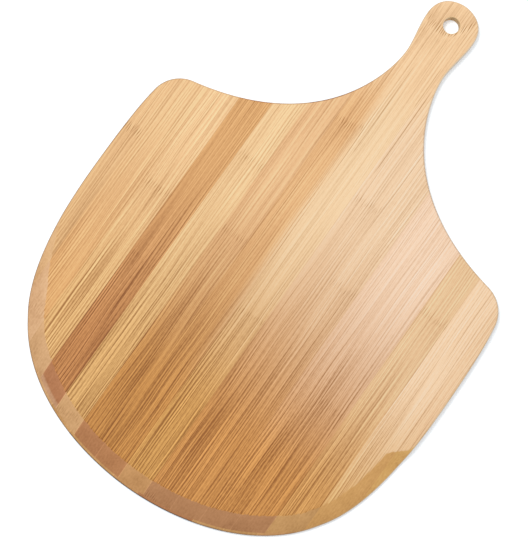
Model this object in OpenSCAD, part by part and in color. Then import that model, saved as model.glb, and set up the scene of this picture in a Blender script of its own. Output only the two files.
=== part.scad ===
// Serving board for pizza, cut from a panel of flat-pressed bamboo.
// The panel has two plies. Each ply is a row of staves that run lengthwise, glued edge to edge.
// The bottom ply is the same row turned over, and the two are glued face to face.
// The board lies on its underside, with the middle of its outline at the origin,
// the handle along +Y and the top face up.

/* [Board] */
// Length from the front edge to the end of the handle
board_length = 424; // [400:1:460]
// Width across the widest part of the head
head_width = 305; // [292:1:330]
// Distance from the front edge back to the widest part
widest_from_front = 175; // [160:1:190]
// Distance from the front edge back to the corners of the shoulders
shoulder_from_front = 262; // [245:1:275]
// How far each shoulder corner lies inside the widest part
shoulder_inset = 5.7; // [2:0.1:10]
// Radius of the shoulder corners
shoulder_radius = 24.8; // [15:0.1:32]

/* [Handle] */
// Width of the handle at its waist
waist_width = 33.4; // [31:0.1:40]
// Distance from the end of the handle to its waist
waist_from_end = 51.4; // [45:0.1:60]
// Width of the handle at its rounded end
grip_width = 40.4; // [36:0.1:50]
// Distance from the end of the handle to its widest part
grip_from_end = 19.6; // [16:0.1:26]

/* [Hanging hole] */
// Diameter of the hole
hole_diameter = 12; // [9:0.1:16]
// Distance from the end of the handle to the middle of the hole
hole_from_end = 17.7; // [15:0.1:24]
// Distance of the middle of the hole to the left of the centre line
hole_offset = 0.4; // [0:0.1:2]
// Radius of the rounded rims of the hole
rim_radius = 0.8; // [0.3:0.1:1.5]

/* [Plies] */
// Thickness of the top ply
top_ply = 4.5; // [3.5:0.1:6]
// Thickness of the bottom ply
bottom_ply = 4.5; // [3.5:0.1:6]
// Width of one stave
stave_width = 21.6; // [18:0.1:26]
// Least width of a stave at the edge of the head
least_strip = 2.5; // [1:0.1:5]

/* [Edge] */
// Thickness that the bevel leaves at the front edge
nose_thickness = 3.7; // [2.6:0.1:5]
// Width of the bevel across the front
bevel_width = 15; // [10:0.1:20]
// Width of the bevel along the flanks
flank_bevel_width = 13; // [8:0.1:16]
// Distance from the front edge at which the bevel has died out on the left flank
left_bevel_end = 138; // [128:1:150]
// Length over which it dies out there
left_run_out = 62; // [30:1:66]
// Distance from the front edge at which the bevel has died out on the right flank
right_bevel_end = 140; // [100:1:150]
// Length over which it dies out there
right_run_out = 14; // [8:1:35]
// Radius of the rounded edge along the top
edge_radius = 1.5; // [0.8:0.1:1.8]
// Radius of the rounded edge along the underside
foot_radius = 1.2; // [0.6:0.1:1.4]

/* [Hidden] */
// The cheek is the point between the front and the flank. It lies at these shares of the half width and of
// the way back to the widest part, where the outline heads at this many degrees from straight across.
cheek_across_share = 0.832;
cheek_back_share = 0.318;
cheek_heading = 56;
// The side leans inward by this many degrees at the shoulder corner, and the shoulder slopes back by as
// many degrees as named here before it sweeps into the handle.
side_lean = 8;
shoulder_slope = 11.2;

// Lengths of the curves' handles, as shares of the reach of each curve in the handle's own direction.
nose_shares = [0.345, 0.39];
flank_shares = [0.1, 0.729];
side_shares = [0.729, 0.1];
sweep_shares = [0.928, 0.136];
neck_shares = [0.323, 0.353];
end_shares = [0.846, 0.296];

// The bevel narrows between these shares of the way back from the front edge to the cheek.
narrowing_shares = [0.45, 0.95];

// Number of straight steps on each stretch of half the outline.
nose_steps = 13;
flank_steps = 14;
side_steps = 5;
corner_steps = 8;
sweep_steps = 14;
neck_steps = 7;
end_steps = 10;
// Number of steps on a rounded rim of the hole.
rim_steps = 3;
// Number of samples from which a curve's steps are spaced.
sample_steps = 80;
// Turn in degrees over one sample that a straight stretch counts as.
least_turn = 0.02;
// Shortest step beside a point where the bevel starts to die out or has died out, as a share of an even one.
least_step_share = 0.3;

// How far cutting shapes run past what they cut.
overrun = 0.5;

half_width = head_width / 2;
board_thickness = top_ply + bottom_ply;
front_y = -board_length / 2;
end_y = board_length / 2;
widest_y = front_y + widest_from_front;
bevel_rise = (board_thickness - nose_thickness) / bevel_width;
bevel_angle = atan(bevel_rise);
// Width of the slope that is left behind the rounded top edge where the bevel has died out.
least_bevel = edge_radius / 6;
// Length that the rounded top edge takes from the side and from the bevel.
edge_tangent = edge_radius * tan((90 - bevel_angle) / 2);
hole_y = end_y - hole_from_end;
hole_reach = hole_diameter / 2 + rim_radius;
// Distances from the front edge between which the bevel dies out.
left_ending = [left_bevel_end - left_run_out, left_bevel_end];
right_ending = [right_bevel_end - right_run_out, right_bevel_end];

// Share of the top ply's middle stave that lies left of the centre line.
middle_share = 0.412;
top_seam = stave_width * middle_share;
bottom_seam = stave_width - top_seam;

light_tone = [0.94, 0.79, 0.61];
tan_tone = [0.87, 0.69, 0.49];
amber_tone = [0.83, 0.63, 0.42];
russet_tone = [0.72, 0.49, 0.33];
// Tones of the staves from the middle one outwards.
top_left_tones = [amber_tone, amber_tone, tan_tone, russet_tone, light_tone, tan_tone, tan_tone];
top_right_tones = [amber_tone, amber_tone, amber_tone, amber_tone, tan_tone, light_tone, tan_tone];
bottom_left_tones = [tan_tone, light_tone, amber_tone, light_tone, tan_tone, light_tone, tan_tone];
bottom_right_tones = [tan_tone, light_tone, tan_tone, amber_tone, tan_tone, light_tone, tan_tone];

// Number of staves left or right of the middle one, whose seam on that side lies at this distance from the
// centre line. A strip at the edge that would be narrower than least_strip is left on its neighbour.
function side_staves(seam) = 1 + floor((half_width - least_strip - seam) / stave_width);

// Left and right side of the stave with this number, counted from the middle one to the right. The middle
// stave's left seam lies at this distance left of the centre line. The outermost staves run past the edge.
function stave_sides(number, left_seam) =
    let (
        right_seam = stave_width - left_seam,
        beyond = half_width + overrun
    )
    [number == -side_staves(left_seam) ? -beyond : number * stave_width - left_seam,
        number == side_staves(right_seam) ? beyond : number * stave_width + right_seam];

// Names of a ply's staves on one side of the middle one.
function side_names(ply, side, seam) = [for (i = [1 : side_staves(seam)]) str(ply, "_stave_", side, "_", i)];

top_left_names = side_names("top", "left", top_seam);
top_right_names = side_names("top", "right", bottom_seam);
bottom_left_names = side_names("bottom", "left", bottom_seam);
bottom_right_names = side_names("bottom", "right", top_seam);

// Direction of an angle in degrees, counted from +X towards +Y.
function heading(angle) = [cos(angle), sin(angle)];

// Point at share t of a cubic curve from a to d, with its handles ending at b and c.
function curve_point(c, t) =
    pow(1 - t, 3) * c[0] + 3 * pow(1 - t, 2) * t * c[1] + 3 * (1 - t) * t * t * c[2] + pow(t, 3) * c[3];

// Angle in degrees between two steps.
function turn(a, b) = abs(atan2(a.x * b.y - a.y * b.x, a * b));

// Shares of a curve that part it into steps, each cutting the curve about as deep as the next.
// That depth goes with a step's length times its turn, so their root is added up along the curve.
function step_shares(c, steps) =
    let (
        samples = [for (i = [0 : sample_steps]) curve_point(c, i / sample_steps)],
        spans = [for (i = [1 : sample_steps]) samples[i] - samples[i - 1]],
        depths = [for (i = [0 : sample_steps - 1])
            sqrt(norm(spans[i]) * (turn(spans[max(i - 1, 0)], spans[i]) + least_turn))],
        sums = [for (i = 0, sum = 0; i <= sample_steps; sum = sum + (i < sample_steps ? depths[i] : 0), i = i + 1)
            sum],
        table = [for (i = [0 : sample_steps]) [sums[i] / sums[sample_steps], i / sample_steps]]
    )
    [for (i = [1 : steps]) lookup(i / steps, table)];

// Points that part a curve into such steps, without its first point.
function curve_run(c, steps) = [for (t = step_shares(c, steps)) curve_point(c, t)];

// Share at which a curve that climbs along Y reaches the height y.
function share_at(c, y, low = 0, high = 1, halvings = 24) =
    let (middle = (low + high) / 2)
    halvings == 0 ? middle
        : curve_point(c, middle).y < y ? share_at(c, y, middle, high, halvings - 1)
        : share_at(c, y, low, middle, halvings - 1);

// A curve between two points, with a heading and a handle length at each.
function curve_between(a, heading_a, handle_a, b, heading_b, handle_b) =
    [a, a + heading(heading_a) * handle_a, b - heading(heading_b) * handle_b, b];

// The half outline's curves, on the right, from the front edge to the end of the handle.
front_point = [0, front_y];
cheek_point = [half_width * cheek_across_share, front_y + widest_from_front * cheek_back_share];
widest_point = [half_width, widest_y];
corner_point = [half_width - shoulder_inset, front_y + shoulder_from_front];
side_heading = 90 + side_lean;
shoulder_heading = 180 - shoulder_slope;
corner_turn = shoulder_heading - side_heading;
corner_cut = shoulder_radius * tan(corner_turn / 2);
corner_start = corner_point - heading(side_heading) * corner_cut;
corner_end = corner_point + heading(shoulder_heading) * corner_cut;
corner_centre = corner_start + heading(side_heading + 90) * shoulder_radius;
waist_point = [waist_width / 2, end_y - waist_from_end];
grip_point = [grip_width / 2, end_y - grip_from_end];
end_point = [0, end_y];

nose_curve = curve_between(front_point, 0, nose_shares[0] * cheek_point.x,
    cheek_point, cheek_heading, nose_shares[1] * cheek_point.x);
flank_reach = widest_point.y - cheek_point.y;
flank_curve = curve_between(cheek_point, cheek_heading, flank_shares[0] * flank_reach,
    widest_point, 90, flank_shares[1] * flank_reach);
side_reach = corner_start.y - widest_point.y;
side_curve = curve_between(widest_point, 90, side_shares[0] * side_reach,
    corner_start, side_heading, side_shares[1] * side_reach);
sweep_reach = [corner_end.x - waist_point.x, waist_point.y - corner_end.y];
sweep_curve = curve_between(corner_end, shoulder_heading, sweep_shares[0] * sweep_reach.x,
    waist_point, 90, sweep_shares[1] * sweep_reach.y);
neck_reach = grip_point.y - waist_point.y;
neck_curve = curve_between(waist_point, 90, neck_shares[0] * neck_reach,
    grip_point, 90, neck_shares[1] * neck_reach);
end_curve = curve_between(grip_point, 90, end_shares[0] * grip_from_end,
    end_point, 180, end_shares[1] * grip_point.x);

// Steps along the flank, with one more at each of the two distances from the front edge in ending.
function flank_run(ending) =
    let (
        shares = step_shares(flank_curve, flank_steps),
        stops = [for (back = ending) share_at(flank_curve, front_y + back)],
        gap = least_step_share / flank_steps,
        before = [for (t = shares) if (t < stops[0] - gap) t],
        between = [for (t = shares) if (t > stops[0] + gap && t < stops[1] - gap) t],
        after = [for (t = shares) if (t > stops[1] + gap) t]
    )
    [for (t = concat(before, [stops[0]], between, [stops[1]], after)) curve_point(flank_curve, t)];

// Half the outline on the right, along which the bevel dies out between the two distances in ending.
function half_outline(ending) = concat(
    [front_point],
    curve_run(nose_curve, nose_steps),
    flank_run(ending),
    curve_run(side_curve, side_steps),
    [for (i = [1 : corner_steps])
        corner_centre + heading(side_heading - 90 + corner_turn * i / corner_steps) * shoulder_radius],
    curve_run(sweep_curve, sweep_steps),
    curve_run(neck_curve, neck_steps),
    curve_run(end_curve, end_steps)
);

// Outward direction at each point of half an outline, from its neighbours.
function outward(points) =
    [for (i = [0 : len(points) - 1])
        let (
            last = len(points) - 1,
            before = i == 0 ? [-points[1].x, points[1].y] : points[i - 1],
            after = i == last ? [-points[last - 1].x, points[last - 1].y] : points[i + 1],
            along = after - before
        )
        [along.y, -along.x] / norm(along)];

// Part of the way from low to high that a value has reached, from 0 to 1.
function part_of(value, low, high) = max(0, min(1, (value - low) / (high - low)));

// Width of the bevel at a point of the outline, on a flank where it dies out evenly between the two distances
// in ending.
function bevel_at(y, ending) =
    let (
        back = y - front_y,
        cheek_share = back / (cheek_point.y - front_y),
        narrowed = part_of(cheek_share, narrowing_shares[0], narrowing_shares[1]),
        full = bevel_width + (flank_bevel_width - bevel_width) * (1 - cos(180 * narrowed)) / 2,
        gone = part_of(back, ending[0], ending[1])
    )
    full * (1 - gone);

// Distance inside the outline and height of each point of the edge's section, from below to above.
// Both ends run past the faces, which the staves' own faces then cut flat.
function edge_section(bevel, with_foot) =
    let (
        width = max(bevel, edge_tangent * cos(bevel_angle) + least_bevel),
        height = board_thickness - width * bevel_rise,
        half_turn = (90 - bevel_angle) / 2,
        foot_share = 1 - cos(45)
    )
    concat(
        with_foot ? [
            [foot_radius + overrun * cos(45) / foot_share, -overrun],
            [foot_radius * foot_share, foot_radius * foot_share],
            [0, foot_radius]
        ] : [[0, -overrun]],
        [
            [0, height - edge_tangent],
            [edge_radius * (1 - cos(half_turn)), height - edge_tangent + edge_radius * sin(half_turn)],
            [edge_tangent * cos(bevel_angle), height + edge_tangent * sin(bevel_angle)],
            [width + overrun / bevel_rise, board_thickness + overrun]
        ]
    );

// The section standing on one point of the outline.
function rib(point, out, section) =
    [for (s = section) [point.x - out.x * s[0], point.y - out.y * s[0], s[1]]];

function flat_list(lists) = [for (l = lists) for (p = l) p];

// Half the board, on the right of its centre line and a little past it, along the stretch of outline that
// lies at least reach away from the centre line, and one step more at each end.
// The hub is a point from which the whole half outline can be seen.
module half_board(reach, ending, with_foot) {
    points = half_outline(ending);
    out = outward(points);
    kept = [for (i = [0 : len(points) - 1])
        let (before = points[max(i - 1, 0)], after = points[min(i + 1, len(points) - 1)])
        if (max(before.x, points[i].x, after.x) >= reach) i];
    ribs = [for (i = kept) rib(points[i], out[i],
        edge_section(bevel_at(points[i].y, ending), with_foot))];
    k = len(ribs[0]);
    last = len(ribs) - 1;
    hub = [-half_width / 2, widest_y];
    low = len(ribs) * k;
    high = low + 1;
    polyhedron(
        points = concat(flat_list(ribs),
            [[hub.x, hub.y, -overrun], [hub.x, hub.y, board_thickness + overrun]]),
        faces = concat(
            [for (i = [0 : last - 1]) for (j = [0 : k - 2])
                [i * k + j, i * k + j + 1, (i + 1) * k + j + 1, (i + 1) * k + j]],
            [for (i = [0 : last - 1]) [low, i * k, (i + 1) * k]],
            [for (i = [0 : last - 1]) [high, (i + 1) * k + k - 1, i * k + k - 1]],
            [for (j = [0 : k - 2]) [low, j + 1, j]],
            [for (j = [0 : k - 2]) [low, last * k + j, last * k + j + 1]],
            [[low, high, k - 1], [low, last * k + k - 1, high]]
        )
    );
}

// The middle of the board, lofted along the outline's points that lie within reach of the centre line, and
// one step more, on both sides. Each face is closed by rungs from side to side.
module middle_board(reach, with_foot) {
    points = half_outline(left_ending);
    out = outward(points);
    last = len(points) - 1;
    kept = [for (i = [0 : last])
        let (before = points[max(i - 1, 0)], after = points[min(i + 1, last)])
        if (min(before.x, points[i].x, after.x) <= reach) i];
    rungs = len(kept) - 1;
    loop = concat(
        [for (i = kept) [points[i], out[i]]],
        [for (k = [rungs - 1 : -1 : 1])
            let (point = points[kept[k]], away = out[kept[k]])
            [[-point.x, point.y], [-away.x, away.y]]]
    );
    count = len(loop);
    section = [for (p = loop) edge_section(bevel_at(p[0].y, left_ending), with_foot)];
    k = len(section[0]);
    polyhedron(
        points = flat_list([for (i = [0 : count - 1]) rib(loop[i][0], loop[i][1], section[i])]),
        faces = concat(
            [for (i = [0 : count - 1]) for (j = [0 : k - 2])
                let (next = (i + 1) % count)
                [i * k + j, i * k + j + 1, next * k + j + 1, next * k + j]],
            [for (i = [0 : rungs - 1])
                let (a = i, b = i + 1, c = count - i - 1, d = (count - i) % count)
                concat([a * k, b * k], b == c ? [] : [c * k], a == d ? [] : [d * k])],
            [for (i = [0 : rungs - 1])
                let (a = i, b = i + 1, c = count - i - 1, d = (count - i) % count, top = k - 1)
                concat(a == d ? [] : [d * k + top], b == c ? [] : [c * k + top], [b * k + top, a * k + top])]
        )
    );
}

// Half the section that the hole cuts, from below to above, with a rounded rim at each face.
function hole_section() =
    let (
        radius = hole_diameter / 2,
        middle = board_thickness / 2,
        arc = [for (i = [0 : rim_steps])
            let (angle = 90 * i / rim_steps)
            [radius + rim_radius * (1 - cos(angle)), middle - rim_radius * (1 - sin(angle))]],
        upper = concat(arc, [[radius + rim_radius, middle + overrun], [0, middle + overrun]])
    )
    concat([for (i = [len(upper) - 1 : -1 : 0]) [upper[i].x, middle - upper[i].y]],
        [for (p = upper) [p.x, middle + p.y]]);

// What the drill and the rounding of its rims take away.
module hole_cutter() {
    translate([-hole_offset, hole_y, 0])
        rotate_extrude($fn = 96) polygon(hole_section());
}

// One stave between two seams and two heights, cut to the board's outline and edge.
module stave(sides, base, thickness, with_foot) {
    left_side = sides[1] <= 0;
    crosses = sides[0] < 0 && sides[1] > 0;
    near = left_side ? -sides[1] : sides[0];
    reach = near <= grip_width / 2 ? 0 : near;
    difference() {
        intersection() {
            translate([sides[0], front_y - overrun, base])
                cube([sides[1] - sides[0], board_length + 2 * overrun, thickness]);
            if (crosses)
                middle_board(max(-sides[0], sides[1]), with_foot);
            else
                mirror([left_side ? 1 : 0, 0, 0])
                    half_board(reach, left_side ? left_ending : right_ending, with_foot);
        }
        if (sides[0] < hole_reach - hole_offset && sides[1] > -hole_reach - hole_offset)
            hole_cutter();
    }
}

// A stave of the top ply. Its number counts from the middle stave, to the right.
module top_stave(number, tone) {
    color(tone)
        stave(stave_sides(number, top_seam), bottom_ply, top_ply, false);
}

// A stave of the bottom ply.
module bottom_stave(number, tone) {
    color(tone)
        stave(stave_sides(number, bottom_seam), 0, bottom_ply, true);
}

top_stave(0, light_tone);  // top_stave_middle

for (i = [1 : len(top_left_names)])
    top_stave(-i, top_left_tones[(i - 1) % len(top_left_tones)]);

for (i = [1 : len(top_right_names)])
    top_stave(i, top_right_tones[(i - 1) % len(top_right_tones)]);

bottom_stave(0, light_tone);  // bottom_stave_middle

for (i = [1 : len(bottom_left_names)])
    bottom_stave(-i, bottom_left_tones[(i - 1) % len(bottom_left_tones)]);

for (i = [1 : len(bottom_right_names)])
    bottom_stave(i, bottom_right_tones[(i - 1) % len(bottom_right_tones)]);
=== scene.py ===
"""Looks of a serving board of flat-pressed bamboo: its staves, its hanging hole and the studio round it.

Lengths are in millimetres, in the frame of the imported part: the board lies on its underside, its handle
points along +Y, and its top face is up.
"""

import logging
import math
import random
from collections.abc import Callable
from dataclasses import dataclass, field
from enum import Enum
from functools import partial

import bmesh
import bpy
from mathutils import Euler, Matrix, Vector


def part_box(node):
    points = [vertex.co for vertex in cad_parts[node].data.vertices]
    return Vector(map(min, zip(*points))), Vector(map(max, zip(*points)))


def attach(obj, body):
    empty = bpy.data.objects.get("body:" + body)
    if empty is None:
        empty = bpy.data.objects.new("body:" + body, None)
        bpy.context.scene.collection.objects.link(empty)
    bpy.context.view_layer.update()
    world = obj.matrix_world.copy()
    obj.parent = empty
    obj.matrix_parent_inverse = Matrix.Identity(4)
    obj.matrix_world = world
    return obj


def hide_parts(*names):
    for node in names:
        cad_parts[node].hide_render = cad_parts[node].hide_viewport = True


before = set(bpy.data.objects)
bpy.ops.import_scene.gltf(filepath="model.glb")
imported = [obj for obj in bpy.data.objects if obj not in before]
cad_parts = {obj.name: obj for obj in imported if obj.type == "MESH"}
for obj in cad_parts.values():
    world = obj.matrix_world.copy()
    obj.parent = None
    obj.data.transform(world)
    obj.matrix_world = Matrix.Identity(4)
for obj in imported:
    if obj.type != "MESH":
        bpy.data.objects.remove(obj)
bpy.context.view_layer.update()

LOG = logging.getLogger("serving_board")
MM = 0.001
# How near a cutting plane a point counts as on it, in metres.
ON_PLANE = 1e-7
# The middle of a noise's range, and the shade at which a stave has its ground colour.
MIDDLE = 0.5
SMOOTH = {"interpolation_type": "SMOOTHSTEP"}

Socket = bpy.types.NodeSocket
Pair = tuple[float, float]
Triple = tuple[float, float, float]


def linear(code: str) -> tuple[float, float, float, float]:
    """Turns an sRGB hex colour to the linear colour that a shader takes, by the sRGB standard's own numbers.

    Args:
        code: Six hex digits.

    Returns:
        Red, green, blue and an alpha of 1.
    """
    parts = [int(code[i : i + 2], 16) / 255 for i in (0, 2, 4)]
    lit = [part / 12.92 if part <= 0.04045 else ((part + 0.055) / 1.055) ** 2.4 for part in parts]
    return (*lit, 1.0)


def add_node(
    tree: bpy.types.NodeTree, kind: str, *inputs: object, named: dict | None = None, output: int | str = 0,
    **settings: object,
) -> Socket | None:
    """Adds one shader node with its inputs and settings.

    A MapRange node takes a value, the range that it comes from, and the range that it goes to. That is 0 to 1
    where it is left out. A Mix node takes a share, nothing, and the two values that it mixes.

    Args:
        tree: The node tree that takes the node.
        kind: The node's type, without the word ShaderNode in front.
        *inputs: For each input in turn, the socket that feeds it or its value, or None to leave it alone.
        named: The same for other inputs, by name or number.
        output: The output that is wanted, by name or number.
        **settings: Properties of the node.

    Returns:
        The wanted output socket, or nothing where the node is the last one.
    """
    node = tree.nodes.new(f"ShaderNode{kind}")
    for name, value in settings.items():
        setattr(node, name, value)
    for name, source in [*enumerate(inputs), *(named or {}).items()]:
        if isinstance(source, Socket):
            tree.links.new(source, node.inputs[name])
        elif source is not None:
            node.inputs[name].default_value = source
    return node.outputs[output] if node.outputs else None


def pick_only(piece: bpy.types.Object) -> None:
    """Selects one object, alone, and makes it active.

    Args:
        piece: The object.
    """
    bpy.ops.object.select_all(action="DESELECT")
    piece.select_set(True)
    bpy.context.view_layer.objects.active = piece


class Ply(Enum):
    """A layer of the panel, by the word that starts its staves' names."""

    TOP = "top"
    BOTTOM = "bottom"


class Side(Enum):
    """A side of the board, looking from its front edge towards the handle."""

    LEFT = "left"
    RIGHT = "right"


@dataclass(frozen=True)
class Knot:
    """A point of the outline, with its heading in degrees from +X and the lengths of its two handles."""

    place: Vector
    heading: float
    before: float
    after: float

    def mirrored(self) -> "Knot":
        """Gives the knot on the other side of the centre line, on the way back to the front edge."""
        return Knot(Vector((-self.place.x, self.place.y)), -self.heading, self.after, self.before)


def heading(degrees: float) -> Vector:
    """Gives the direction of an angle counted from +X towards +Y."""
    return Vector((math.cos(math.radians(degrees)), math.sin(math.radians(degrees))))


@dataclass
class Outline:
    """The board's outline, drawn as one smooth curve through both ends and six knots on each side.

    A pull says how long the curve's handle at a knot is, as a share of the way to the next knot. Where there
    are two, they are for the ways before and after it.
    """

    length: float = 424
    head_width: float = 305
    widest_from_front: float = 175
    shoulder_from_front: float = 262
    shoulder_inset: float = 5.7
    shoulder_radius: float = 24.8
    waist_width: float = 33.4
    waist_from_end: float = 51.4
    grip_width: float = 40.4
    grip_from_end: float = 19.6
    cheek_across: float = 0.832
    cheek_back: float = 0.318
    cheek_heading: float = 56
    side_heading: float = 98
    shoulder_heading: float = 168.8
    nose_pull: float = 0.345
    cheek_pull: Pair = (0.39, 0.1)
    widest_pull: float = 0.729
    corner_pull: Pair = (0.1, 0.928)
    waist_pull: Pair = (0.136, 0.323)
    grip_pull: Pair = (0.353, 0.846)
    end_pull: float = 0.296
    steps: int = 48
    points: list[Vector] = field(default_factory=list)
    outward: list[Vector] = field(default_factory=list)

    @property
    def front(self) -> float:
        """Y of the front edge."""
        return -self.length / 2

    @property
    def end(self) -> float:
        """Y of the handle's end."""
        return self.length / 2

    @property
    def cheek(self) -> Vector:
        """The point between the front and the flank."""
        across = self.head_width / 2 * self.cheek_across
        return Vector((across, self.front + self.widest_from_front * self.cheek_back))

    def knots(self) -> list[Knot]:
        """Gives the knots of the whole outline.

        Returns:
            The knots from the middle of the front edge round the right side and back up the left.
        """
        cheek = self.cheek
        widest = Vector((self.head_width / 2, self.front + self.widest_from_front))
        corner = Vector((self.head_width / 2 - self.shoulder_inset, self.front + self.shoulder_from_front))
        turn = math.radians(self.shoulder_heading - self.side_heading)
        cut = self.shoulder_radius * math.tan(turn / 2)
        # The length of handle with which the curve follows a circle round the shoulder.
        arc = self.shoulder_radius * 4 / 3 * math.tan(turn / 4)
        corner_start = corner - heading(self.side_heading) * cut
        corner_end = corner + heading(self.shoulder_heading) * cut
        waist = Vector((self.waist_width / 2, self.end - self.waist_from_end))
        grip = Vector((self.grip_width / 2, self.end - self.grip_from_end))
        flank = widest.y - cheek.y
        side = corner_start.y - widest.y
        sweep = Vector((corner_end.x - waist.x, waist.y - corner_end.y))
        neck = grip.y - waist.y
        right = [
            Knot(cheek, self.cheek_heading, self.cheek_pull[0] * cheek.x, self.cheek_pull[1] * flank),
            Knot(widest, 90, self.widest_pull * flank, self.widest_pull * side),
            Knot(corner_start, self.side_heading, self.corner_pull[0] * side, arc),
            Knot(corner_end, self.shoulder_heading, arc, self.corner_pull[1] * sweep.x),
            Knot(waist, 90, self.waist_pull[0] * sweep.y, self.waist_pull[1] * neck),
            Knot(grip, 90, self.grip_pull[0] * neck, self.grip_pull[1] * self.grip_from_end),
        ]
        nose = Knot(Vector((0, self.front)), 0, self.nose_pull * cheek.x, self.nose_pull * cheek.x)
        end = Knot(Vector((0, self.end)), 180, self.end_pull * grip.x, self.end_pull * grip.x)
        return [nose, *right, end, *[knot.mirrored() for knot in reversed(right)]]

    def draw(self) -> bpy.types.Object:
        """Draws the outline as a closed curve, turns it to a wire, and keeps its points.

        Returns:
            The wire, as a mesh of edges.
        """
        knots = self.knots()
        bpy.ops.object.select_all(action="DESELECT")
        bpy.ops.curve.primitive_bezier_curve_add(enter_editmode=True)
        bpy.ops.curve.subdivide(number_cuts=len(knots) - 2)
        bpy.ops.curve.cyclic_toggle(direction="CYCLIC_U")
        bpy.ops.object.mode_set(mode="OBJECT")
        wire = bpy.context.object
        wire.name = "outline_wire"
        spline = wire.data.splines[0]
        spline.resolution_u = self.steps
        for point, knot in zip(spline.bezier_points, knots):
            along = heading(knot.heading)
            point.handle_left_type = "FREE"
            point.handle_right_type = "FREE"
            point.co = (knot.place * MM).to_3d()
            point.handle_left = ((knot.place - along * knot.before) * MM).to_3d()
            point.handle_right = ((knot.place + along * knot.after) * MM).to_3d()
        bpy.ops.object.convert(target="MESH")
        wire = bpy.context.object
        self.points = [(vertex.co / MM).to_2d() for vertex in wire.data.vertices]
        for i in range(len(self.points)):
            along = self.points[(i + 1) % len(self.points)] - self.points[i - 1]
            self.outward.append(Vector((along.y, -along.x)).normalized())
        return wire


@dataclass
class Edge:
    """The section round the board: a rounded foot, a side, a rounded rim and a bevel with a soft crease.

    Attributes:
        endings: How far behind the front edge the bevel starts to die out and has gone, on each side.
        narrowing: The part of the way from the front to the cheek over which the bevel narrows.
        least_slant: How wide its slant stays past the rim where it has died out.
        crease_share: The most of the bevel that the soft crease may take.
        flat_margin: How far the first and the last point lie on the flat faces.
    """

    thickness: float = 9
    nose_thickness: float = 3.7
    bevel_width: float = 15
    flank_bevel_width: float = 13
    endings: dict[Side, Pair] = field(
        default_factory=lambda: {Side.LEFT: (76, 138), Side.RIGHT: (126, 140)}
    )
    narrowing: Pair = (0.45, 0.95)
    least_slant: float = 0.25
    rim_radius: float = 1.5
    foot_radius: float = 1.2
    crease_radius: float = 7
    crease_share: float = 0.45
    flat_margin: float = 0.6
    foot_steps: int = 5
    rim_steps: int = 7
    bevel_steps: int = 3
    crease_steps: int = 5

    @property
    def slope(self) -> float:
        """Rise of the bevel over its width."""
        return (self.thickness - self.nose_thickness) / self.bevel_width

    def bevel_at(self, point: Vector, outline: Outline) -> float:
        """Gives the bevel's width at a point of the outline.

        Args:
            point: The point.
            outline: The outline that it lies on.

        Returns:
            The width, which narrows towards the flanks and dies out evenly behind them.
        """
        back = point.y - outline.front
        share = back / (outline.cheek.y - outline.front)
        narrowed = min(1, max(0, (share - self.narrowing[0]) / (self.narrowing[1] - self.narrowing[0])))
        drop = (self.bevel_width - self.flank_bevel_width) * (1 - math.cos(math.pi * narrowed)) / 2
        start, stop = self.endings[Side.RIGHT if point.x > 0 else Side.LEFT]
        gone = min(1, max(0, (back - start) / (stop - start)))
        return (self.bevel_width - drop) * (1 - gone)

    def section(self, bevel: float) -> list[Pair]:
        """Gives the edge's section for one width of the bevel.

        Args:
            bevel: The bevel's width.

        Returns:
            The distance inside the outline and the height of each point, from the underside to the top.
        """
        angle = math.atan(self.slope)
        tangent = self.rim_radius * math.tan((math.pi / 2 - angle) / 2)
        width = max(bevel, tangent * math.cos(angle) + self.least_slant)
        height = self.thickness - width * self.slope
        points = [(self.foot_radius + self.flat_margin, 0.0)]
        for i in range(self.foot_steps + 1):
            turn = math.pi / 2 * i / self.foot_steps
            points.append((self.foot_radius * (1 - math.sin(turn)), self.foot_radius * (1 - math.cos(turn))))
        for i in range(self.rim_steps + 1):
            turn = (math.pi / 2 - angle) * i / self.rim_steps
            rise = height - tangent + self.rim_radius * math.sin(turn)
            points.append((self.rim_radius * (1 - math.cos(turn)), rise))
        start = Vector(points[-1])
        crease = Vector((width, self.thickness))
        reach = min(self.crease_radius * math.tan(angle / 2), self.crease_share * (crease - start).length)
        soft_start = crease + (start - crease).normalized() * reach
        soft_end = crease + Vector((reach, 0))
        for i in range(1, self.bevel_steps):
            points.append(tuple(start.lerp(soft_start, i / self.bevel_steps)))
        for i in range(self.crease_steps + 1):
            share = i / self.crease_steps
            low = soft_start.lerp(crease, share)
            points.append(tuple(low.lerp(crease.lerp(soft_end, share), share)))
        points.append((soft_end.x + self.flat_margin, self.thickness))
        return points


def raise_rings(wire: bpy.types.Object, rings: list[list[Vector]]) -> bpy.types.Object:
    """Raises a closed wire into a solid by extruding it from ring to ring, and closes both ends.

    Args:
        wire: A mesh of one closed loop of edges.
        rings: For each ring, from below to above, the place of each of the wire's vertices.

    Returns:
        The same object, now a closed solid.
    """
    pick_only(wire)
    bpy.ops.object.mode_set(mode="EDIT")
    bpy.ops.mesh.select_all(action="SELECT")
    mesh = bmesh.from_edit_mesh(wire.data)
    place = mesh.verts.layers.int.new("place")
    for vertex in mesh.verts:
        vertex[place] = vertex.index
        vertex.co = rings[0][vertex.index] * MM
    bpy.ops.mesh.edge_face_add()
    for points in rings[1:]:
        bpy.ops.mesh.extrude_edges_move()
        mesh = bmesh.from_edit_mesh(wire.data)
        place = mesh.verts.layers.int["place"]
        for vertex in mesh.verts:
            if vertex.select:
                vertex.co = points[vertex[place]] * MM
    bpy.ops.mesh.edge_face_add()
    bpy.ops.mesh.select_all(action="SELECT")
    bpy.ops.mesh.normals_make_consistent(inside=False)
    bpy.ops.object.mode_set(mode="OBJECT")
    wire.data.attributes.remove(wire.data.attributes["place"])
    return wire


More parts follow.
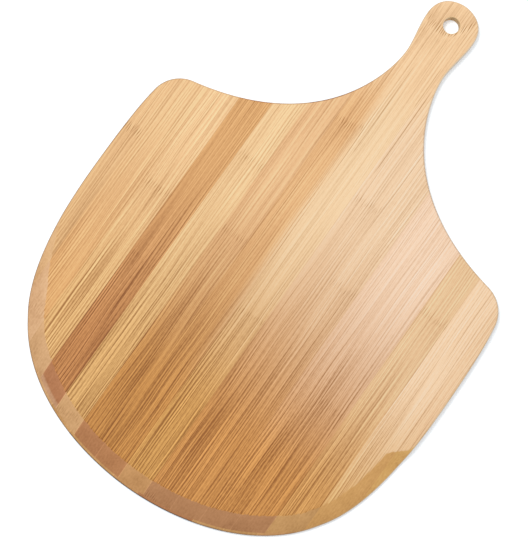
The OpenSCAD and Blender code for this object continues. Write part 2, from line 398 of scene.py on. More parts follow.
def cut_away(piece: bpy.types.Object, at: Vector, towards: Vector) -> None:
    """Cuts off what lies past a plane, and closes the cut.

    Args:
        piece: The solid to cut.
        at: A point of the plane, in millimetres.
        towards: The direction in which the solid is cut away.
    """
    pick_only(piece)
    bpy.ops.object.mode_set(mode="EDIT")
    bpy.ops.mesh.select_all(action="SELECT")
    bpy.ops.mesh.bisect(
        plane_co=at * MM, plane_no=towards, use_fill=True, clear_outer=True, threshold=ON_PLANE
    )
    bpy.ops.object.mode_set(mode="OBJECT")


@dataclass
class HangingHole:
    """The drilled hole near the handle's end, with a rounded rim at each face.

    Attributes:
        rim_gap: How many steps short of flat the rim's arc stops, so that the cutter can rise past it.
        overrun: How far the cutter runs past each face.
    """

    diameter: float = 12
    from_end: float = 17.7
    offset: float = 0.4
    rim_radius: float = 0.8
    sides: int = 96
    rim_steps: int = 6
    rim_gap: float = 0.6
    overrun: float = 0.3
    board_end: float = 212

    @property
    def centre(self) -> Vector:
        """The place of the hole's axis."""
        return Vector((-self.offset, self.board_end - self.from_end))

    def cutter(self, edge: Edge) -> bpy.types.Object:
        """Makes the solid that the hole takes out of the handle.

        Args:
            edge: The board's edge, for its thickness.

        Returns:
            The solid, flared at each face and running a little past it.
        """
        bpy.ops.object.select_all(action="DESELECT")
        bpy.ops.mesh.primitive_circle_add(vertices=self.sides, radius=self.diameter / 2 * MM)
        ring = bpy.context.object
        ring.name = "hole_cutter"
        directions = [vertex.co.to_2d().normalized() for vertex in ring.data.vertices]
        last_turn = math.pi / 2 * (self.rim_steps - self.rim_gap) / self.rim_steps
        flare = []
        for i in range(self.rim_steps + 1):
            turn = last_turn * i / self.rim_steps
            flare.append((self.rim_radius * (1 - math.cos(turn)), self.rim_radius * (1 - math.sin(turn))))
        run = self.overrun / math.tan(math.pi / 2 - last_turn)
        flare.append((flare[-1][0] + run, flare[-1][1] - self.overrun))
        above = [(out, edge.thickness - depth) for out, depth in flare]
        rings = []
        for out, height in [*reversed(flare), *above]:
            reach = self.diameter / 2 + out
            rings.append([(self.centre + d * reach).to_3d() + Vector((0, 0, height)) for d in directions])
        return raise_rings(ring, rings)

    def cut(self, piece: bpy.types.Object, cutter: bpy.types.Object) -> None:
        """Cuts the hole through one stave.

        Args:
            piece: The stave.
            cutter: The solid that the hole takes out.
        """
        pick_only(piece)
        bpy.ops.object.modifier_add(type="BOOLEAN")
        step = piece.modifiers[-1]
        step.operation = "DIFFERENCE"
        step.solver = "EXACT"
        step.object = cutter
        bpy.ops.object.modifier_apply(modifier=step.name)


@dataclass(frozen=True)
class BambooTone:
    """How one batch of bamboo strips looks, as sRGB hex colours, before sanding dust and oil.

    Attributes:
        rear: Colour of the face towards the handle.
        front: Colour of the face towards the front edge, partly its own and partly painted shade of
            falling-off light.
        bevel: Colour where the bevel cuts across the fibres.
    """

    rear: str
    front: str
    bevel: str


HONEY = BambooTone("FBD7A9", "D2994F", "CC9760")
STRAW = BambooTone("F8CE98", "D9A663", "D6A672")
WHEAT = BambooTone("F7CA94", "E1AD6C", "D6A776")
AMBER = BambooTone("F1C08B", "C4863F", "BA7F52")
CARAMEL = BambooTone("EFBB82", "C4863F", "BC8152")
RUSSET = BambooTone("DFA769", "BE7E43", "B97C52")
SAND = BambooTone("F2C48D", "E5AB6A", "DFB082")
APRICOT = BambooTone("F1C28B", "E0AE73", "DFB07D")
PEACH = BambooTone("FAD6AE", "CE8E48", "BA8458")
ROSE = BambooTone("FFDBBA", "CE8E48", "BA8458")
BLUSH = BambooTone("F2C899", "D89D57", "CE9C62")
MAPLE = BambooTone("FFDAB1", "E6B271", "DAA563")
CREAM = BambooTone("FBD3A8", "E9B87C", "E3B069")


@dataclass(frozen=True)
class Knuckle:
    """The cross-line of a bamboo culm's joint on a stave, where the fibres break up into short dashes.

    Attributes:
        y: Its distance along the board.
        x: Where it lies furthest forward across the board.
        bend: How fast it curves back on either side, per millimetre.
        reach: Half its breadth along the stave.
        strength: How clearly it shows.
        stain: How much browner the stave is for some way in front of it or, below 0, behind it.
    """

    y: float
    x: float = 0
    bend: float = 0
    reach: float = 3.2
    strength: float = 0.35
    stain: float = 0.25


@dataclass(frozen=True)
class Streak:
    """One long fibre that stands out from the stave.

    Attributes:
        x: Where it lies across the board.
        start: Where it starts along the board.
        stop: Where it ends.
        depth: How much darker than the stave it is.
        core: Half the width over which it is darkest.
        reach: Half the width at which it is gone.
        full: The part of its length over which it shows fully.
    """

    x: float
    start: float
    stop: float
    depth: float = 0.3
    core: float = 0.14
    reach: float = 0.56
    full: float = 0.7


@dataclass(frozen=True)
class StaveLook:
    """What sets one stave apart.

    Attributes:
        tone: Its batch.
        knuckles: The culm's joints on it.
        streaks: The fibres that stand out.
        rear_fibres: How strongly the fibres show on its rear part.
        front_fibres: How strongly they show near the front edge.
        pale_until: How far towards the front edge its paler rear tone reaches, as a distance along the board.
        pale_below: The height under which the strip turns to the paler inner wood of the culm.
        glue: How much paler the glue line beside it is where the bevel cuts it.
        painted_rim_shade: How strongly painted shade darkens its outermost rim on the front and the left.
        fades_into: The batch that its right side resembles, towards the handle, as both come from one culm.
    """

    tone: BambooTone
    knuckles: tuple[Knuckle, ...] = ()
    streaks: tuple[Streak, ...] = ()
    rear_fibres: float = 0.54
    front_fibres: float = 1.35
    pale_until: float = 45
    pale_below: float = -1
    glue: float = 0.3
    painted_rim_shade: float = 0.4
    fades_into: BambooTone | None = None


TOP_MIDDLE = StaveLook(
    HONEY,
    (
        Knuckle(187, x=-4, bend=0.06, reach=3.4, strength=0.9, stain=-0.7),
        Knuckle(180, x=-4, bend=0.06, reach=2.4, strength=0.15, stain=0.3),
        Knuckle(-62, bend=0.01),
    ),
    (Streak(-5.5, 70, 162), Streak(11.5, 128, 165, depth=0.2)),
    rear_fibres=0.4, painted_rim_shade=0.9,
)
# The top ply's other staves, from the middle outwards.
TOP_LOOKS = {
    Side.LEFT: (
        StaveLook(
            CARAMEL,
            (
                Knuckle(187, x=-9, bend=0.04, strength=0.5, stain=-0.6),
                Knuckle(180, x=-9, bend=0.04, reach=2.4, strength=0.15, stain=0.3),
                Knuckle(91, x=-26, bend=0.02, strength=0.45, stain=0.35),
                Knuckle(-150, stain=0.1),
            ),
            painted_rim_shade=0.9, fades_into=HONEY,
        ),
        StaveLook(AMBER, (Knuckle(-20, x=-40, bend=-0.01),), painted_rim_shade=0.8),
        StaveLook(
            STRAW, (Knuckle(30, x=-60, bend=0.01), Knuckle(-193, x=-60, reach=2.4, strength=0.25, stain=0.1))
        ),
        StaveLook(
            RUSSET, (Knuckle(-74, x=-84, bend=0.01),), rear_fibres=0.75, front_fibres=1.5, pale_below=5.5
        ),
        StaveLook(WHEAT, (Knuckle(-25, x=-106, bend=0.01),), front_fibres=1.1, glue=0.04),
        StaveLook(
            SAND, (Knuckle(-146, x=-130, reach=2.4, strength=0.25, stain=0.1),), front_fibres=0.8, glue=0.04
        ),
        StaveLook(
            APRICOT, (Knuckle(0, x=-143, reach=3.4, strength=0.8, stain=0.3),),
            front_fibres=0.75, glue=0.04, painted_rim_shade=0.5,
        ),
    ),
    Side.RIGHT: (
        StaveLook(
            PEACH,
            (
                Knuckle(-206, x=13, bend=-0.03, reach=2.4, strength=0.6, stain=0.1),
                Knuckle(52, x=23, bend=0.01),
            ),
            (Streak(15.5, 70, 148),),
            rear_fibres=0.44, pale_until=70, painted_rim_shade=0.9,
        ),
        StaveLook(
            PEACH, (Knuckle(-8, x=45, bend=0.01),), rear_fibres=0.55, pale_until=60, glue=0.22, painted_rim_shade=0.9
        ),
        StaveLook(
            ROSE, (Knuckle(-168, x=68, reach=1.6, strength=0.3, stain=0.1),),
            rear_fibres=0.5, front_fibres=1.7, glue=0.14,
        ),
        StaveLook(ROSE, (Knuckle(-82, x=88, bend=-0.01),), rear_fibres=0.5),
        StaveLook(
            BLUSH, (Knuckle(12, x=110, bend=0.01),),
            rear_fibres=0.5, front_fibres=1.2, pale_until=-10, glue=0.04,
        ),
        StaveLook(MAPLE, rear_fibres=0.5, front_fibres=0.7, pale_until=-20, glue=0.04),
        StaveLook(CREAM, rear_fibres=0.5, front_fibres=0.6, pale_until=-20, glue=0.04),
    ),
}
BOTTOM_MIDDLE = StaveLook(HONEY, (Knuckle(-60, bend=0.01),), painted_rim_shade=1.0)
# The bottom ply's other staves, from the middle outwards: the batch, and how strongly painted shade darkens
# the rim.
BOTTOM_BATCHES = {
    Side.LEFT: (
        (BLUSH, 0.9), (BLUSH, 0.9), (BLUSH, 0.5), (STRAW, 0.5), (STRAW, 0.45), (SAND, 0.4), (SAND, 0.5)
    ),
    Side.RIGHT: (
        (AMBER, 1.0), (AMBER, 1.0), (BLUSH, 0.7), (BLUSH, 0.5), (HONEY, 0.4), (STRAW, 0.2), (STRAW, 0.1)
    ),
}


@dataclass(frozen=True)
class Grain:
    """A set of fibre lines in the bamboo.

    Attributes:
        spacing: Half the distance from line to line, in millimetres.
        run: How far a line runs before it changes, in millimetres.
        weight: How much the lines lighten the bamboo, below 0 where they darken it.
        blur: Half the noise's range over which a line fades, so less is crisper.
        detail: How many finer layers of noise break the lines up.
    """

    spacing: float
    run: float
    weight: float
    blur: float = 0.2
    detail: float = 1

    @property
    def rate(self) -> Triple:
        """How often the lines change per millimetre across the board, along it and upwards."""
        return (1 / self.spacing, 1 / self.run, 1 / self.spacing)


@dataclass(frozen=True)
class Drift:
    """An uneven change from place to place, as a living culm has.

    Attributes:
        rate: How often it changes per millimetre across the board, along it and upwards.
        reach: How far it goes, in the unit of what it changes.
        detail: How many finer layers of noise it has.
        blur: Half the noise's range over which it goes from one end to the other, where that is limited.
    """

    rate: Triple
    reach: float
    detail: float = 0
    blur: float = 0.2


@dataclass
class OiledBamboo:
    """Flat-pressed bamboo, sanded and wiped with food-safe oil.

    A strip is the outer wall of a culm pressed flat. Its fibres are bundles that run the whole length, so
    a face shows long fine lines, and a bevel cuts the same bundles short and shows specks. Sanding leaves
    the surface matt, and the oil gives it a soft, wide sheen. A shade is 0 in the darkest fibre and 1 in the
    palest. Limits are the two values at which something starts and is full.

    Attributes:
        look: What sets this stave apart.
        left: X of its left side.
        right: X of its right side.
        face_height: Height of its broad face.
        seed: Its own number, which gives it fibres of its own.
        bore: The hanging hole, where it goes through this stave.
        wander_step: How far from one stave to the next the noise of the wander shifts, so that none repeats.
        row_step: The same for the rows.
        fibre_step: The same for the fibre lines.
        grain_step: The same from one set of fibre lines to the next.
        hair_start: How high on a row's wave a hairline starts.
        row_full: How high on the wave a row is full.
        bevel_limits: Limits of the bevel, in depth below the face.
        bevel_heights: Heights between which the bevel's shade rises to bevel_top.
        dash_edge: How far up its wave, from -1, a knuckle's dash reaches.
        dash_shades: How much the dash and the wood beside it differ from the stave.
        stain_start: Limits of a stain near its knuckle's line, in the knuckle's reaches.
        stain_end: Its limits at the far end.
        seam_limits: Limits of the glue line, in distance inside the stave's side.
        fade: Over what width, and how far, a stave resembles its neighbour.
        dark_fibre: What a ground colour's red, green and blue are multiplied by in the darkest fibre.
        pale_fibre: What they are multiplied by in the palest, each up to its value in palest.
        wall_limits: Limits of the hole's wall, in distance outside its radius.
        rim_limits: Limits of the rim, in how far the surface looks up.
        head_limits: Limits of the stronger painted shade on the head's rim, in distance along the board.
        painted_rim_side: Which way the rim faces where light is painted on it, and the opposite of where
            shade is.
        roughness: The darkest and the palest fibre's.
        relief: How strongly the fibres stand up, and how high.
        ior: That of hardened oil.
        gloss: How strongly the oil mirrors, a little less than usual because the wood has drunk it.
    """

    look: StaveLook
    left: float
    right: float
    face_height: float
    seed: int
    bore: HangingHole | None = None
    strand: Grain = Grain(spacing=0.6, run=75, weight=0.15, blur=0.08, detail=0)
    cord: Grain = Grain(spacing=1.5, run=130, weight=0.09, blur=0.1, detail=0)
    stripe: Grain = Grain(spacing=2.4, run=190, weight=0.08, blur=0.12)
    band: Grain = Grain(spacing=8, run=320, weight=0.03, blur=0.25)
    speck: Grain = Grain(spacing=0.9, run=3.2, weight=0.05, blur=0.12, detail=0)
    dark_hair: Grain = Grain(spacing=1.1, run=110, weight=-0.36, blur=0.1, detail=0)
    pale_hair: Grain = Grain(spacing=1.3, run=90, weight=0.2, blur=0.1, detail=0)
    wander_step: float = 7.3
    row_step: float = 2.9
    fibre_step: Triple = (3.7, 1.9, 0)
    grain_step: Triple = (11, 0, 5)
    hair_start: float = 0.5
    wander: Drift = Drift((0.05, 0.011, 0.05), reach=3, detail=1)
    row_spacing: float = 2.05
    row_drift: Drift = Drift((0.2, 0.008, 0.2), reach=6)
    row_full: float = 0.6
    rear_rows: float = 0.01
    front_rows: float = 0.04
    comb_start: float = 5
    front_y: float = -150
    saw_marks: Drift = Drift((0.9, 0.05, 0.02), reach=-0.5, detail=1)
    bevel_limits: Pair = (-0.16, 0.02)
    bevel_fibres: float = 0.13
    bevel_heights: Pair = (5.4, 8.6)
    bevel_top: float = 0.59
    blotches: Drift = Drift((0.09, 0.07, 0.09), reach=0.08, detail=1)
    grit: Drift = Drift((0.75, 0.45, 0.75), reach=0.06, detail=1, blur=0.15)
    dash_spacing: float = 1.8
    dash_drift: Drift = Drift((0.3, 0.06, 0.1), reach=9)
    dash_edge: float = -0.3
    dash_shades: Pair = (-0.75, 0.14)
    stagger: Drift = Drift((0.45, 0, 0.1), reach=6)
    stain_start: Pair = (1.5, -0.5)
    stain_end: Pair = (-9, -1.5)
    stain_shade: float = -0.2
    seam_limits: Pair = (0.45, 0.1)
    face_glue: float = -0.1
    fade: Pair = (8, 0.75)
    dark_fibre: Triple = (0.52, 0.4, 0.27)
    pale_fibre: Triple = (1.38, 1.48, 1.66)
    palest: Triple = (0.97, 0.88, 0.76)
    inner_tone: str = "CC9B74"
    inner_blend: float = 0.3
    # Painted light: the hole's wall is made pale because it lies in shade.
    bore_painted_light_tone: str = "FFDDA8"
    wall_limits: Pair = (0.7, 0.1)
    grip_tone: str = "FDD4A4"
    grip_limits: Pair = (95, 165)
    rim_limits: Pair = (0.95, 0.68)
    # Painted shade: a dark line along the outermost rim on the front and the left, standing in for the
    # contact shadow at the board's edge.
    painted_rim_shade_tone: str = "553B28"
    painted_rim_shade_limits: Pair = (-0.35, 0.15)
    head_limits: Pair = (130, 60)
    handle_rim_shade: float = 0.3
    # Painted light: a pale line along the outermost rim on the right, where the rim turns away from the lamp.
    painted_rim_light_tone: str = "FFECD4"
    painted_rim_light_limits: Pair = (0.1, 0.6)
    painted_rim_light: float = 0.8
    painted_rim_side: Pair = (0.8, 0.6)
    roughness: Pair = (0.62, 0.5)
    relief: Pair = (0.25, 0.12)
    ior: float = 1.46
    gloss: float = 0.35
    add: Callable[..., Socket] = field(init=False)
    place: Socket = field(init=False)
    x: Socket = field(init=False)
    y: Socket = field(init=False)
    z: Socket = field(init=False)
    comb: Socket = field(init=False)
    bevel: Socket = field(init=False)
    shade: Socket = field(init=False)

    def build(self, name: str) -> bpy.types.Material:
        """Builds the material.

        Args:
            name: The material's name.

        Returns:
            The material, for one stave.
        """
        material = bpy.data.materials.new(name)
        material.use_nodes = True
        material.node_tree.nodes.clear()
        self.add = partial(add_node, material.node_tree)
        place = self.add("TexCoord", output="Object")
        self.place = self.add("Mapping", place, named={"Scale": (1 / MM, 1 / MM, 1 / MM)})
        self.x = self.add("SeparateXYZ", self.place)
        self.y = self.x.node.outputs["Y"]
        self.z = self.x.node.outputs["Z"]
        self.comb = self.add("MapRange", self.y, self.comb_start, self.front_y, **SMOOTH)
        self.bevel = self.bevel_mask()
        lines = self.fibre_lines()
        self.shade_fibres(lines)
        self.shade_knuckles()
        self.shade_streaks()
        self.shade_bevel()
        self.finish(lines)
        return material

    def growth(self, place: Socket, pattern: Grain | Drift, shift: Triple = (0, 0, 0)) -> Socket:
        """Adds how strongly a pattern of the culm's growth shows.

        Args:
            place: Where the surface is, in millimetres.
            pattern: What changes from place to place.
            shift: Where the pattern is taken from, which keeps it from repeating another.

        Returns:
            The strength, from 0 to 1.
        """
        spot = self.add("Mapping", place, named={"Location": shift, "Scale": pattern.rate})
        return self.add("TexNoise", spot, named={"Scale": 1, "Detail": pattern.detail})

    def rows(self, place: Socket, spacing: float, drift: Drift, shift: float = 0) -> Socket:
        """Adds rows that run along the stave, side by side.

        Args:
            place: The place that they are drawn from, in millimetres.
            spacing: The distance from row to row.
            drift: How they stray from it.
            shift: Where the drift is taken from.

        Returns:
            A wave from -1 between the rows to 1 on them.
        """
        stray = self.growth(place, drift, (shift, 0, 0))
        stray = self.add("Math", stray, drift.reach, operation="MULTIPLY")
        across = self.add("SeparateXYZ", place)
        turn = self.add("Math", across, 2 * math.pi / spacing, stray, operation="MULTIPLY_ADD")
        return self.add("Math", turn, operation="SINE")

    def close_to(self, where: Socket, line: float, limits: Pair, value: float = 1) -> Socket:
        """Adds how close the surface is to a line.

        Args:
            where: The surface's distance across or along the board.
            line: The line's.
            limits: The distances from the line at which the value starts and is full.
            value: What the surface gets on the line.

        Returns:
            The value on the line, and 0 away from it.
        """
        off = self.add("Math", where, line, operation="SUBTRACT")
        off = self.add("Math", off, operation="ABSOLUTE")
        return self.add("MapRange", off, *limits, 0, value, **SMOOTH)

    def bevel_mask(self) -> Socket:
        """Adds where the surface has left the face.

        The change is ragged like a comb, because the saw marks of the bevel run out between hard fibres.

        Returns:
            The mask, which is 0 on the face and 1 on the bevel and the sides.
        """
        depth = self.add("Math", self.z, self.face_height, operation="SUBTRACT")
        depth = self.add("Math", depth, operation="ABSOLUTE")
        marks = self.growth(self.place, self.saw_marks)
        ragged = self.add("Math", marks, self.saw_marks.reach, depth, operation="MULTIPLY_ADD")
        return self.add("MapRange", ragged, *self.bevel_limits, **SMOOTH)

    def fibre_lines(self) -> Socket:
        """Adds the fibres: strands, cords, stripes, bands, specks, even rows, and hairlines on the rows.

        Returns:
            How light the fibres are, about 0.
        """
        wander = self.growth(self.place, self.wander, (self.seed * self.wander_step, 0, 0))
        across = self.add("Math", wander, self.wander.reach, self.x, operation="MULTIPLY_ADD")
        place = self.add("CombineXYZ", across, self.y, self.z)
        row = self.rows(place, self.row_spacing, self.row_drift, self.seed * self.row_step)
        hairs = {self.dark_hair: -1, self.pale_hair: 1}
        total: Socket | float = 0.0
        for number, grain in enumerate((self.strand, self.cord, self.stripe, self.band, self.speck, *hairs)):
            steps = zip(self.fibre_step, self.grain_step)
            shift = tuple(self.seed * own + number * further for own, further in steps)
            noise = self.growth(place, grain, shift)
            limits = (MIDDLE - grain.blur, MIDDLE + grain.blur)
            if grain in hairs:
                crest = hairs[grain]
                hair = self.add("MapRange", row, crest * self.hair_start, crest, 0, grain.weight)
                share = self.add("MapRange", noise, *limits)
                total = self.add("Math", hair, share, total, operation="MULTIPLY_ADD")
            else:
                level = self.add("MapRange", noise, *limits, grain.weight, -grain.weight)
                total = self.add("Math", level, total, operation="ADD")
        row = self.add("MapRange", row, -self.row_full, self.row_full, -1, 1)
        weight = self.add("MapRange", self.comb, None, None, self.rear_rows, self.front_rows)
        return self.add("Math", row, weight, total, operation="MULTIPLY_ADD")

    def shade_fibres(self, lines: Socket) -> None:
        """Shades the stave by its fibres, which show less on the bevel.

        Args:
            lines: How light the fibres are.
        """
        look = self.look
        contrast = self.add("MapRange", self.comb, None, None, look.rear_fibres, look.front_fibres)
        contrast = self.add("Mix", self.bevel, None, contrast, self.bevel_fibres)
        ground = self.add("MapRange", self.z, *self.bevel_heights, MIDDLE, self.bevel_top)
        ground = self.add("Mix", self.bevel, None, MIDDLE, ground)
        self.shade = self.add("Math", lines, contrast, ground, operation="MULTIPLY_ADD")

    def shade_knuckles(self) -> None:
        """Shades the knuckles: short dark and pale dashes along the fibres, and the stain beside them."""
        wave = self.rows(self.place, self.dash_spacing, self.dash_drift)
        steps = self.growth(self.place, self.stagger)
        for knuckle in self.look.knuckles:
            # How many of its reaches the surface lies behind the knuckle's curved and staggered line.
            across = self.add("Math", self.x, knuckle.x, operation="SUBTRACT")
            curve = self.add("Math", across, across, operation="MULTIPLY")
            first = knuckle.y - self.stagger.reach / 2
            line = self.add("Math", curve, knuckle.bend, first, operation="MULTIPLY_ADD")
            line = self.add("Math", steps, self.stagger.reach, line, operation="MULTIPLY_ADD")
            along = self.add("Math", self.y, line, operation="SUBTRACT")
            behind = self.add("Math", along, knuckle.reach, operation="DIVIDE")
            near = self.add("Math", behind, behind, operation="MULTIPLY")
            near = self.add("Math", near, -1, operation="MULTIPLY")
            near = self.add("Math", near, operation="EXPONENT")
            shades = [knuckle.strength * shade for shade in self.dash_shades]
            dash = self.add("MapRange", wave, -1, self.dash_edge, *shades)
            self.shade = self.add("Math", dash, near, self.shade, operation="MULTIPLY_ADD")
            side = math.copysign(1, knuckle.stain)
            start = [side * limit for limit in self.stain_start]
            end = [side * limit for limit in self.stain_end]
            stain = self.stain_shade * abs(knuckle.stain)
            rise = self.add("MapRange", behind, *start, **SMOOTH)
            fall = self.add("MapRange", behind, *end, 0, stain, **SMOOTH)
            self.shade = self.add("Math", rise, fall, self.shade, operation="MULTIPLY_ADD")

    def shade_streaks(self) -> None:
        """Shades the single fibres that stand out."""
        for streak in self.look.streaks:
            line = self.close_to(self.x, streak.x, (streak.reach, streak.core))
            middle = (streak.start + streak.stop) / 2
            half = (streak.stop - streak.start) / 2
            inside = self.close_to(self.y, middle, (half, half * streak.full), -streak.depth)
            self.shade = self.add("Math", line, inside, self.shade, operation="MULTIPLY_ADD")

    def shade_bevel(self) -> None:
        """Shades the mottle of the sawn bevel, and the glue line along both sides of the stave."""
        mottle: Socket | float = 0.0
        for drift in (self.blotches, self.grit):
            spot = self.growth(self.place, drift)
            limits = (MIDDLE - drift.blur, MIDDLE + drift.blur)
            spot = self.add("MapRange", spot, *limits, -drift.reach, drift.reach)
            mottle = self.add("Math", spot, mottle, operation="ADD")
        shade = self.add("Math", mottle, self.bevel, self.shade, operation="MULTIPLY_ADD")
        half = (self.right - self.left) / 2
        limits = [half - inside for inside in self.seam_limits]
        seam = self.close_to(self.x, (self.left + self.right) / 2, limits)
        glue = self.add("MapRange", self.bevel, None, None, self.face_glue, self.look.glue)
        self.shade = self.add("Math", seam, glue, shade, operation="MULTIPLY_ADD", use_clamp=True)

    def tone_colours(self, ground: str) -> Socket:
        """Adds the colours from the darkest fibre over a ground colour to the palest fibre.

        Args:
            ground: The ground colour, in sRGB hex.

        Returns:
            The colour for the surface's shade.
        """
        base = linear(ground)
        dark = [part * share for part, share in zip(base, self.dark_fibre)]
        pale = [min(part * share, most) for part, share, most in zip(base, self.pale_fibre, self.palest)]
        colours = self.add("ValToRGB", self.shade)
        stops = colours.node.color_ramp.elements
        stops[0].color = (*dark, 1)
        stops[1].color = (*pale, 1)
        stops.new(MIDDLE).color = base
        return colours

    def overlaid(self, ground: Socket, *layers: tuple[Socket, Socket | tuple]) -> Socket:
        """Adds colours over a ground colour.

        Args:
            ground: The ground colour.
            *layers: The colours from below to above, each after the mask that says where it shows.

        Returns:
            The colour that they give.
        """
        for mask, colour in layers:
            # A Mix node's two colours are its inputs 6 and 7, and what they give is its output 2.
            ground = self.add("Mix", mask, named={6: ground, 7: colour}, output=2, data_type="RGBA")
        return ground

    def colour(self) -> Socket:
        """Adds the bamboo's colour, from its tones, painted light on the hole's wall, and painted shade and
        light on the rims.

        Returns:
            The colour.
        """
        look = self.look
        ground = self.tone_colours(look.tone.rear)
        if look.fades_into:
            width, share = self.fade
            near = self.add("MapRange", self.x, self.right - width, self.right, 0, share, **SMOOTH)
            ground = self.overlaid(ground, (near, self.tone_colours(look.fades_into.rear)))
        limits = (look.pale_below + self.inner_blend, look.pale_below - self.inner_blend)
        inner = self.add("MapRange", self.z, *limits, **SMOOTH)
        cut = self.overlaid(self.tone_colours(look.tone.bevel), (inner, self.tone_colours(self.inner_tone)))
        # The front tone is darker partly as the wood's own tone and partly as painted shade of light that
        # falls off towards the front edge.
        front = self.add("MapRange", self.y, look.pale_until, self.front_y, **SMOOTH)
        grip = self.add("MapRange", self.y, *self.grip_limits, **SMOOTH)
        layers = [
            (front, self.tone_colours(look.tone.front)),
            (self.bevel, cut),
            (grip, self.tone_colours(self.grip_tone)),
        ]
        # Painted light on the hole's wall, which lies in shade.
        if self.bore:
            layers.append((self.painted_bore_light_mask(), linear(self.bore_painted_light_tone)))
        return self.overlaid(ground, *layers, *self.painted_rim_layers())

    def painted_bore_light_mask(self) -> Socket:
        """Adds where the wall of the hanging hole is, which is painted pale as painted light, because it lies
        in shade.

        Returns:
            The mask, which is 1 on the wall.
        """
        flat = self.add("CombineXYZ", self.x, self.y)
        centre = self.bore.centre.to_3d()
        off = self.add("VectorMath", flat, centre, output="Value", operation="DISTANCE")
        return self.add("MapRange", off, *[self.bore.diameter / 2 + outside for outside in self.wall_limits])

    def painted_rim_layers(self) -> list[tuple[Socket, tuple]]:
        """Adds painted shade and painted light on the outermost rim.

        Returns:
            How far the rim on the front and the left is darkened by a painted contact shadow, most on the
            head, and how far the rim on the right is lightened by a painted highlight, each with its tone.
        """
        normal = self.add("NewGeometry", output="Normal")
        upward = self.add("SeparateXYZ", normal, output="Z")
        rim = self.add("MapRange", upward, *self.rim_limits, **SMOOTH)
        rim_shade_share = self.look.painted_rim_shade
        rim_shade_strength = self.add("MapRange", self.y, *self.head_limits, self.handle_rim_shade * rim_shade_share, rim_shade_share)
        across, along = self.painted_rim_side
        layers = []
        # The first layer is painted shade on the front and left rim; the second is painted light on the right
        # rim.
        for side, limits, strength, tone in (
            (-1, self.painted_rim_shade_limits, rim_shade_strength, self.painted_rim_shade_tone),
            (1, self.painted_rim_light_limits, self.painted_rim_light, self.painted_rim_light_tone),
        ):
            towards = (across * side, along * side, 0)
            share = self.add("VectorMath", normal, towards, output="Value", operation="DOT_PRODUCT")
            share = self.add("MapRange", share, *limits)
            share = self.add("Math", share, strength, operation="MULTIPLY")
            layers.append((self.add("Math", rim, share, operation="MULTIPLY"), linear(tone)))
        return layers

    def finish(self, lines: Socket) -> None:
        """Finishes the surface: matt sanded fibres with the wide sheen of oil.

        Args:
            lines: How light the fibres are, which stand up a little.
        """
        rough = self.add("MapRange", self.shade, None, None, *self.roughness)
        strength, height = self.relief
        relief = self.add("Bump", named={"Height": lines, "Strength": strength, "Distance": height * MM})
        inputs = {"Roughness": rough, "Normal": relief, "IOR": self.ior, "Specular IOR Level": self.gloss}
        self.add("OutputMaterial", self.add("BsdfPrincipled", self.colour(), named=inputs))


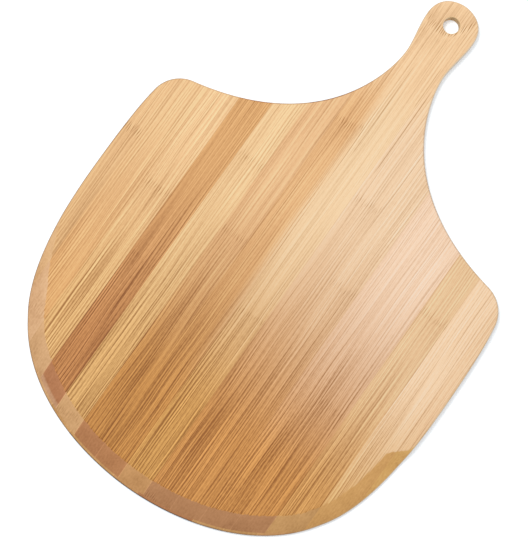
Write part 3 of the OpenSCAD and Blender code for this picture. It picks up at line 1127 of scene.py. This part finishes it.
@dataclass
class Board:
    """The panel of staves, planed to its outline, bevelled and bored.

    Attributes:
        side_margin: How near the board's widest point a stave's side is the board's own.
        chance: The number that the draws of the bottom ply's knuckles start from.
        knuckle_reach: Between which distances along the board they lie.
        knuckle_bend: The most that they bend.
        knuckle_stain: How much browner the stave is beside them.
    """

    outline: Outline = field(default_factory=Outline)
    edge: Edge = field(default_factory=Edge)
    hole: HangingHole = field(default_factory=HangingHole)
    ply_height: float = 4.5
    side_margin: float = 0.5
    smooth_angle: float = 30
    chance: int = 8
    knuckle_reach: Pair = (-150, 60)
    knuckle_bend: float = 0.015
    knuckle_stain: float = 0.6

    def looks(self) -> dict[str, StaveLook]:
        """Gives the look of each stave, by node name.

        Returns:
            The looks. A stave of the bottom ply, which shows along the rim, has a knuckle somewhere.
        """
        chance = random.Random(self.chance)
        looks = {"top_stave_middle": TOP_MIDDLE, "bottom_stave_middle": BOTTOM_MIDDLE}
        for side in Side:
            for number, look in enumerate(TOP_LOOKS[side], start=1):
                looks[f"{Ply.TOP.value}_stave_{side.value}_{number}"] = look
            for number, (tone, rim_shade_share) in enumerate(BOTTOM_BATCHES[side], start=1):
                y = chance.uniform(*self.knuckle_reach)
                bend = chance.uniform(-self.knuckle_bend, self.knuckle_bend)
                knuckle = Knuckle(y, bend=bend, stain=self.knuckle_stain)
                node = f"{Ply.BOTTOM.value}_stave_{side.value}_{number}"
                looks[node] = StaveLook(tone, (knuckle,), painted_rim_shade=rim_shade_share)
        return looks

    def panel(self) -> bpy.types.Object:
        """Raises the whole board as one solid, which the staves are then sawn from.

        Returns:
            The solid.
        """
        wire = self.outline.draw()
        points = self.outline.points
        sections = [self.edge.section(self.edge.bevel_at(point, self.outline)) for point in points]
        rings = []
        for places in zip(*sections):
            ring = []
            for point, out, (inside, height) in zip(points, self.outline.outward, places):
                ring.append((point - out * inside).to_3d() + Vector((0, 0, height)))
            rings.append(ring)
        return raise_rings(wire, rings)

    def saw(self, panel: bpy.types.Object, node: str) -> bpy.types.Object:
        """Saws one stave from a copy of the panel.

        Args:
            panel: The whole board.
            node: The node that the stave stands for.

        Returns:
            The stave, whose outer side is the board's own where it is the last one.
        """
        low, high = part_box(node)
        inside = self.outline.head_width / 2 - self.side_margin
        pick_only(panel)
        bpy.ops.object.duplicate(linked=False)
        piece = bpy.context.object
        piece.name = f"sanded_{node}"
        piece.data.name = piece.name
        ply_seam = Vector((0, 0, self.ply_height))
        cut_away(piece, ply_seam, Vector((0, 0, -1 if node.startswith(Ply.TOP.value) else 1)))
        if low.x / MM > -inside:
            cut_away(piece, low / MM, Vector((-1, 0, 0)))
        if high.x / MM < inside:
            cut_away(piece, high / MM, Vector((1, 0, 0)))
        return piece

    def build(self) -> list[bpy.types.Object]:
        """Builds every stave, dresses it, and puts it in its node's place.

        Returns:
            The staves.
        """
        panel = self.panel()
        cutter = self.hole.cutter(self.edge)
        looks = self.looks()
        pieces = []
        for number, node in enumerate(sorted(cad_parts)):
            piece = self.saw(panel, node)
            bored = node.endswith("middle")
            if bored:
                self.hole.cut(piece, cutter)
            pick_only(piece)
            bpy.ops.object.shade_smooth_by_angle(angle=math.radians(self.smooth_angle))
            low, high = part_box(node)
            finish = OiledBamboo(
                looks[node], left=low.x / MM, right=high.x / MM, seed=number + 1,
                face_height=self.edge.thickness if node.startswith(Ply.TOP.value) else 0,
                bore=self.hole if bored else None,
            )
            piece.data.materials.clear()
            piece.data.materials.append(finish.build(f"oiled_bamboo_{node}"))
            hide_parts(node)
            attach(piece, "root")
            pieces.append(piece)
            LOG.info("%s: %d faces", piece.name, len(piece.data.polygons))
        for spare in (panel, cutter):
            bpy.data.objects.remove(spare)
        return pieces


@dataclass
class Studio:
    """A white table in soft light, and the camera above it."""

    table_side: float = 6000
    table_tone: str = "E9F0F6"
    glow_tone: str = "F4F6FA"
    glow: float = 0.42
    lamp_place: Vector = field(default_factory=lambda: Vector((-500, 110, 1600)))
    lamp_side: float = 560
    lamp_power: float = 15.0
    sky_strength: float = 0.53
    camera_place: Vector = field(default_factory=lambda: Vector((34.143, -94.325, 1079.485)))
    camera_turn: Triple = (4.17582, -0.11899, 35.2071)
    lens: float = 100
    sensor: float = 36

    def table(self) -> None:
        """Lays the table, which shows white where nothing shades it."""
        bpy.ops.object.select_all(action="DESELECT")
        bpy.ops.mesh.primitive_plane_add(size=self.table_side * MM)
        table = bpy.context.object
        table.name = "white_table"
        # White laminate pressed with a fine matt sheet: it shows no reflection, only the board's soft shadow.
        material = bpy.data.materials.new("white_laminate")
        material.use_nodes = True
        material.node_tree.nodes.clear()
        add = partial(add_node, material.node_tree)
        seen = add("LightPath", output="Is Camera Ray")
        matt = add("BsdfDiffuse", linear(self.table_tone))
        glow = add("Emission", linear(self.glow_tone), self.glow)
        add("OutputMaterial", add("MixShader", seen, matt, add("AddShader", matt, glow)))
        table.data.materials.append(material)

    def lamp(self) -> None:
        """Hangs one wide lamp up and to the left, turned to the middle of the board."""
        bpy.ops.object.light_add(type="AREA", location=self.lamp_place * MM)
        lamp = bpy.context.object
        lamp.name = "window_lamp"
        lamp.data.shape = "DISK"
        lamp.data.size = self.lamp_side * MM
        lamp.data.energy = self.lamp_power
        lamp.rotation_euler = (-self.lamp_place).to_track_quat("-Z", "Y").to_euler()

    def sky(self) -> None:
        """Sets the room's even light, and a bright room behind everything."""
        world = bpy.data.worlds.new("bright_room")
        bpy.context.scene.world = world
        world.use_nodes = True
        world.node_tree.nodes.clear()
        add = partial(add_node, world.node_tree)
        seen = add("LightPath", output="Is Camera Ray")
        rays = seen.node.outputs
        seen = add("Math", seen, rays["Is Transmission Ray"], operation="MAXIMUM")
        seen = add("Math", seen, rays["Is Glossy Ray"], operation="MAXIMUM")
        strength = add("MapRange", seen, None, None, self.sky_strength, 1)
        add("OutputWorld", add("Background", None, strength))

    def camera(self) -> None:
        """Sets the camera nearly straight above the board."""
        turn = Euler([math.radians(angle) for angle in self.camera_turn])
        bpy.ops.object.camera_add(location=self.camera_place * MM, rotation=turn)
        camera = bpy.context.object
        camera.name = "overhead_camera"
        camera.data.lens = self.lens
        camera.data.sensor_width = self.sensor
        bpy.context.scene.camera = camera

    def build(self) -> None:
        """Builds the table, the light and the camera."""
        self.camera()
        self.table()
        self.lamp()
        self.sky()
        bpy.context.scene.view_settings.view_transform = "Standard"
        LOG.info("studio ready")


def main() -> None:
    """Builds the studio and the board, and logs how many staves there are."""
    logging.basicConfig(level=logging.INFO, format="%(name)s: %(message)s")
    Studio().build()
    pieces = Board().build()
    LOG.info("%d staves", len(pieces))


if __name__ == "__main__":
    main()
